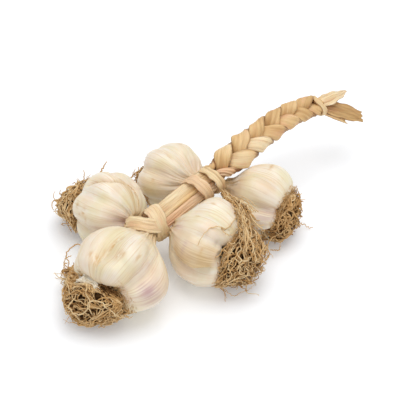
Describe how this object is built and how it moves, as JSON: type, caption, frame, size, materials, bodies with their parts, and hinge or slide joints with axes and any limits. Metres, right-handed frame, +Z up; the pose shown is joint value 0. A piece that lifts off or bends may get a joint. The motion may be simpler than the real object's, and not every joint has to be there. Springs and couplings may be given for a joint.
{
  "type": "garlic braid",
  "caption": "Short garlic braid lying on its bulbs: dried white bulbs with root beards, bound by leaf wraps to leaf stems that run on as a plait.",
  "frame": {"origin": "middle of the whole braid's plan box, on the table it lies on", "axes": "+X along the stems and the plait, from the end bulb to the leaf tips; +Y towards the side with the two left bulbs; +Z up"},
  "size_m": [0.2568, 0.142, 0.0577],
  "materials": {
    "skin": "satin, dry and thin, with fine lengthwise veins",
    "root": "matt, dry and fibrous",
    "leaf": "satin, dry straw with fine lengthwise fibres"
  },
  "bodies": {
    "root": {"bulb_end": "skin", "bulb_left_front": "skin", "bulb_left_back": "skin", "bulb_right_front": "skin", "bulb_right_back": "skin", "roots_end": "root", "roots_left_front": "root", "roots_left_back": "root", "roots_right_front": "root", "roots_right_back": "root", "stem_leaf_top": "leaf", "stem_leaf_front": "leaf", "stem_leaf_under": "leaf", "wrap_first": "leaf", "wrap_second": "leaf", "wrap_third": "leaf", "crossing_leaf": "leaf", "strand_1": "leaf", "strand_2": "leaf", "strand_3": "leaf", "end_tie": "leaf", "tip_leaf_upper": "leaf", "tip_leaf_lower": "leaf", "tip_leaf_strip": "leaf"}
  },
  "joints": []
}
